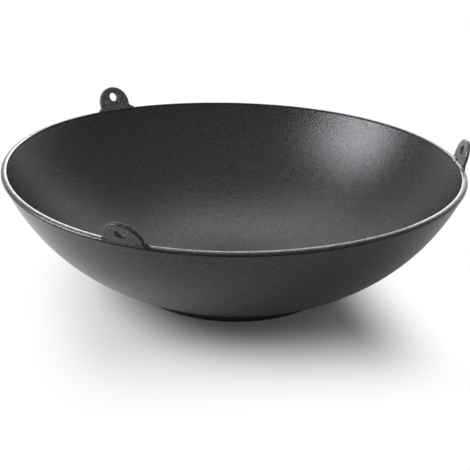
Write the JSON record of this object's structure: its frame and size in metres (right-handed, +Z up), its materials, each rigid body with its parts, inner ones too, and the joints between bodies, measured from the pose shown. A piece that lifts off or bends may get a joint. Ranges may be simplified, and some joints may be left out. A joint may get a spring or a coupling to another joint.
{
  "type": "hanging wok",
  "caption": "Round cast iron wok with a thin lip, a low flat foot and pierced lugs on its rim, for cooking over a fire while hung from a chain or stood on its foot.",
  "frame": {"origin": "centre of the foot's flat underside, on the surface that the wok stands on", "axes": "+Z up along the bowl's axis, out of its open side; +Y away from the picture's viewer; +X to the picture's right, 3.5 degrees short of the right lug's middle"},
  "size_m": [0.3843, 0.38, 0.1246],
  "materials": {
    "iron": "seasoned black, satin, fine sand-cast grain"
  },
  "bodies": {
    "root": {"wok": "iron"}
  },
  "joints": []
}
